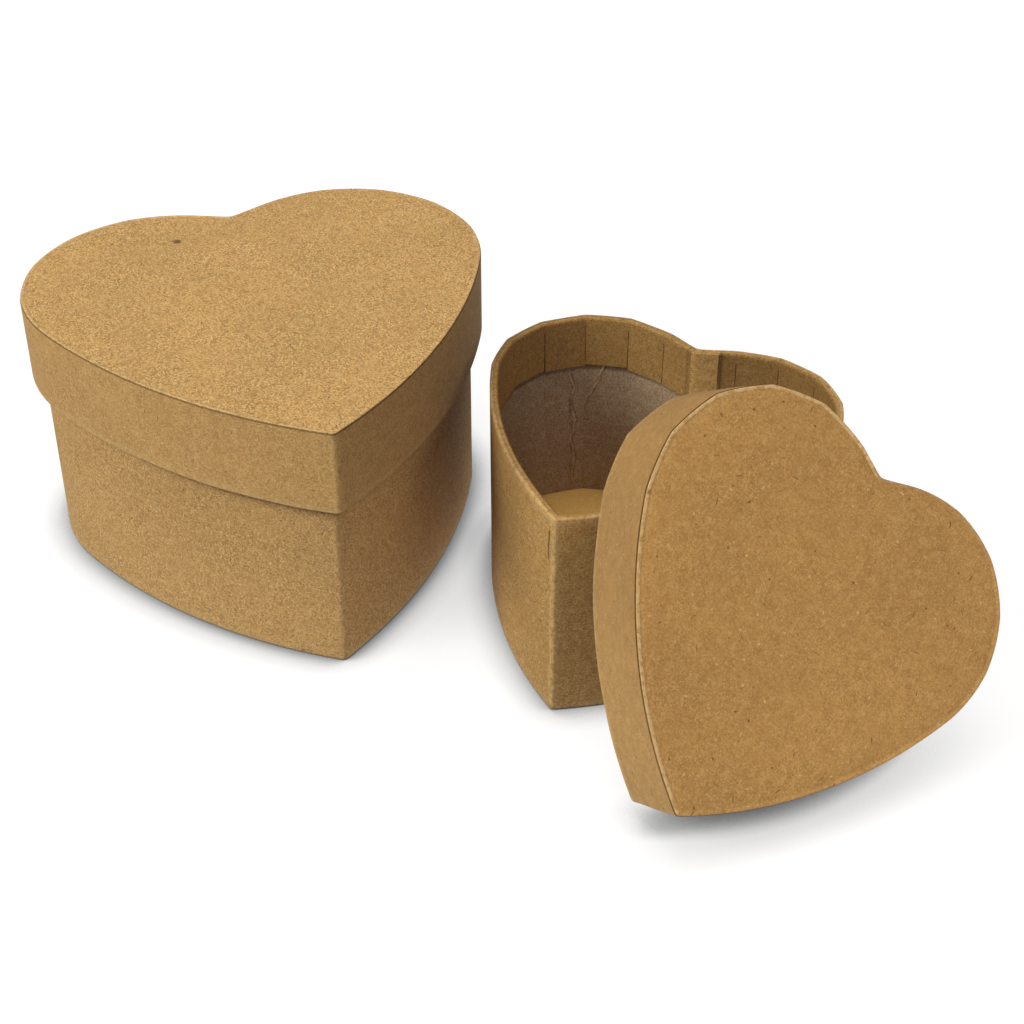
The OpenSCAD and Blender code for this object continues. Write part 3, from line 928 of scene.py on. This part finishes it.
large_body_form = Form(large_heart, large_h, 11, (0.12 * MM, 0.12 * MM), 0.22 * MM)
large_lid_form = Form(large_heart, large_rim_h, 23, (0.12 * MM, 0.15 * MM), 0.2 * MM)
small_body_form = Form(small_heart, small_h, 37, (0.3 * MM, 0.42 * MM), 0.25 * MM, rubbed=0.8)
small_lid_form = Form(small_heart, small_rim_h, 41, (0.12 * MM, 0.36 * MM), 0.18 * MM)

settle(body_pieces("large", large_body_form, large_h, 5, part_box("large_lid_rim_wrap")[0].z),
       own_frame("large_body_wrap", still, large_heart, 0, PAPER), "large_box")
settle(lid_pieces("large", large_lid_form, large_rim_h, 6),
       own_frame("large_lid_rim_wrap", still, large_heart, LID_OUT), "large_lid")
settle(body_pieces("small", small_body_form, small_h, 7),
       own_frame("small_body_wrap", small_turn, small_heart, 0, PAPER), "small_box")
settle(lid_pieces("small", small_lid_form, small_rim_h, 8),
       own_frame("small_lid_rim_wrap", lean, small_heart, LID_OUT), "small_lid")


# ---- Floor, light and camera ----

# How far the table reaches from the middle
STAGE_SIZE = 6.0


def stage_piece(name, mesh, material):
    """Adds a piece of the stage that the boxes neither mirror nor take light from."""
    mesh.materials.append(material)
    obj = bpy.data.objects.new(name, mesh)
    bpy.context.scene.collection.objects.link(obj)
    obj.visible_diffuse = False
    obj.visible_glossy = False
    return obj


def floor():
    """A bright table, dim only close to what stands on it: a narrow dark shade, and a faint wide one."""
    mesh = bpy.data.meshes.new("floor")
    k = STAGE_SIZE
    mesh.from_pydata([(-k, -k, 0), (k, -k, 0), (k, k, 0), (-k, k, 0)], [], [(0, 1, 2, 3)])
    material, node = shader("pale_floor")
    shades = []
    for reach, low, high, darkest in ((7.5 * MM, 0.46, 0.84, 0.06), (34 * MM, 0.2, 0.68, 0.58)):
        near = node("ShaderNodeAmbientOcclusion", {"Distance": reach}, samples=4)
        tone = node("ShaderNodeMapRange", {"Value": near.outputs["AO"], "From Min": low, "From Max": high,
                                           "To Min": darkest, "To Max": 1})
        shades.append(tone.outputs[0])
    both = node("ShaderNodeMath", {0: shades[0], 1: shades[1]}, operation="MULTIPLY")
    # 6, 7 and 2 are the node's colour sockets
    tone = node("ShaderNodeMix", {0: both.outputs[0], 6: (0.0, 0.02, 0.035, 1), 7: (1, 1, 1, 1)},
                data_type="RGBA")
    bsdf = node("ShaderNodeBsdfPrincipled", {
        "Base Color": (0.2, 0.2, 0.205, 1), "Roughness": 0.9, "Specular IOR Level": 0.0,
        "Emission Color": tone.outputs[2], "Emission Strength": 0.9,
    })
    node("ShaderNodeOutputMaterial", {"Surface": bsdf.outputs[0]})
    stage_piece("floor", mesh, material)


def backdrop():
    """A plain pale dome, so that low views have no dark horizon."""
    radius = 0.98 * STAGE_SIZE
    around = 64
    step = 2 * pi / around
    # Rings of corners from one step below the horizon, with the crown over the last ring
    corners = [(radius * cos(k * step) * cos(j * step), radius * cos(k * step) * sin(j * step),
                radius * sin(k * step)) for k in range(-1, around // 4) for j in range(around)]
    crown = len(corners)
    sides = [(i, i + 1 if (i + 1) % around else i + 1 - around) for i in range(crown)]
    faces = [(a, b, b + around, a + around) if a + around < crown else (a, b, crown) for a, b in sides]
    mesh = bpy.data.meshes.new("backdrop")
    mesh.from_pydata(corners + [(0, 0, radius)], [], faces)
    material, node = shader("pale_backdrop")
    glow = node("ShaderNodeEmission", {"Strength": 0.9})
    node("ShaderNodeOutputMaterial", {"Surface": glow.outputs[0]})
    dome = stage_piece("backdrop", mesh, material)
    dome.visible_transmission = False
    dome.visible_shadow = False


def light(name, place, aim, size, power, colour):
    """A round soft light that is turned towards its aim."""
    data = bpy.data.lights.new(name, "AREA")
    data.shape = "DISK"
    data.size = size
    data.energy = power
    data.color = colour
    obj = bpy.data.objects.new(name, data)
    obj.location = place
    obj.rotation_euler = (Vector(aim) - Vector(place)).to_track_quat("-Z", "Y").to_euler()
    bpy.context.scene.collection.objects.link(obj)
    return obj


# Where the photograph's camera stands, how it's turned and tilted, and its focal length in pixels
CAMERA_AT = Vector((-0.0721, -0.3944, 0.2883))
CAMERA_TURN = radians(-18.76)
CAMERA_TILT = radians(36.67)
CAMERA_FOCAL = 1990
PICTURE = 1024


def camera():
    """The photograph's camera."""
    data = bpy.data.cameras.new("camera")
    data.sensor_width = 36
    data.lens = CAMERA_FOCAL / PICTURE * data.sensor_width
    data.clip_start = 0.01
    obj = bpy.data.objects.new("camera", data)
    obj.location = CAMERA_AT
    obj.rotation_euler = (pi / 2 - CAMERA_TILT, 0, CAMERA_TURN)
    bpy.context.scene.collection.objects.link(obj)
    bpy.context.scene.camera = obj


def lights():
    """Soft studio light: a window to the photographer's left, a ceiling, and a weak fill on the right."""
    aim = Vector((0.03, -0.05, 0.02))
    away = 2.2
    turned = Matrix.Rotation(CAMERA_TURN, 3, "Z")
    for name, azimuth, height, size, power, colour in (
        ("window", -66, 36, 1.1, 33, (1.0, 1.0, 0.88)),
        ("ceiling", 0, 86, 1.2, 21, (1.0, 0.92, 0.85)),
        ("fill", 45, 30, 0.9, 6.9, (0.95, 1.0, 1.05)),
    ):
        a, h = radians(azimuth), radians(height)
        way = turned @ Vector((sin(a) * cos(h), -cos(a) * cos(h), sin(h)))
        light(name, aim + way * away, aim, size, power, colour)
    # Light that the pale table throws back up at the boxes
    glow = light("table_glow", (aim.x, aim.y, 0.3 * MM), (aim.x, aim.y, 1), 1.2, 1.65, (0.97, 1.0, 1.04))
    glow.visible_camera = False
    world = bpy.data.worlds.new("studio")
    world.use_nodes = True
    world.node_tree.nodes["Background"].inputs["Color"].default_value = (0.9, 0.95, 1.2, 1)
    world.node_tree.nodes["Background"].inputs["Strength"].default_value = 0.03
    bpy.context.scene.world = world


floor()
backdrop()
lights()
bpy.context.scene.view_settings.view_transform = "Standard"
camera()
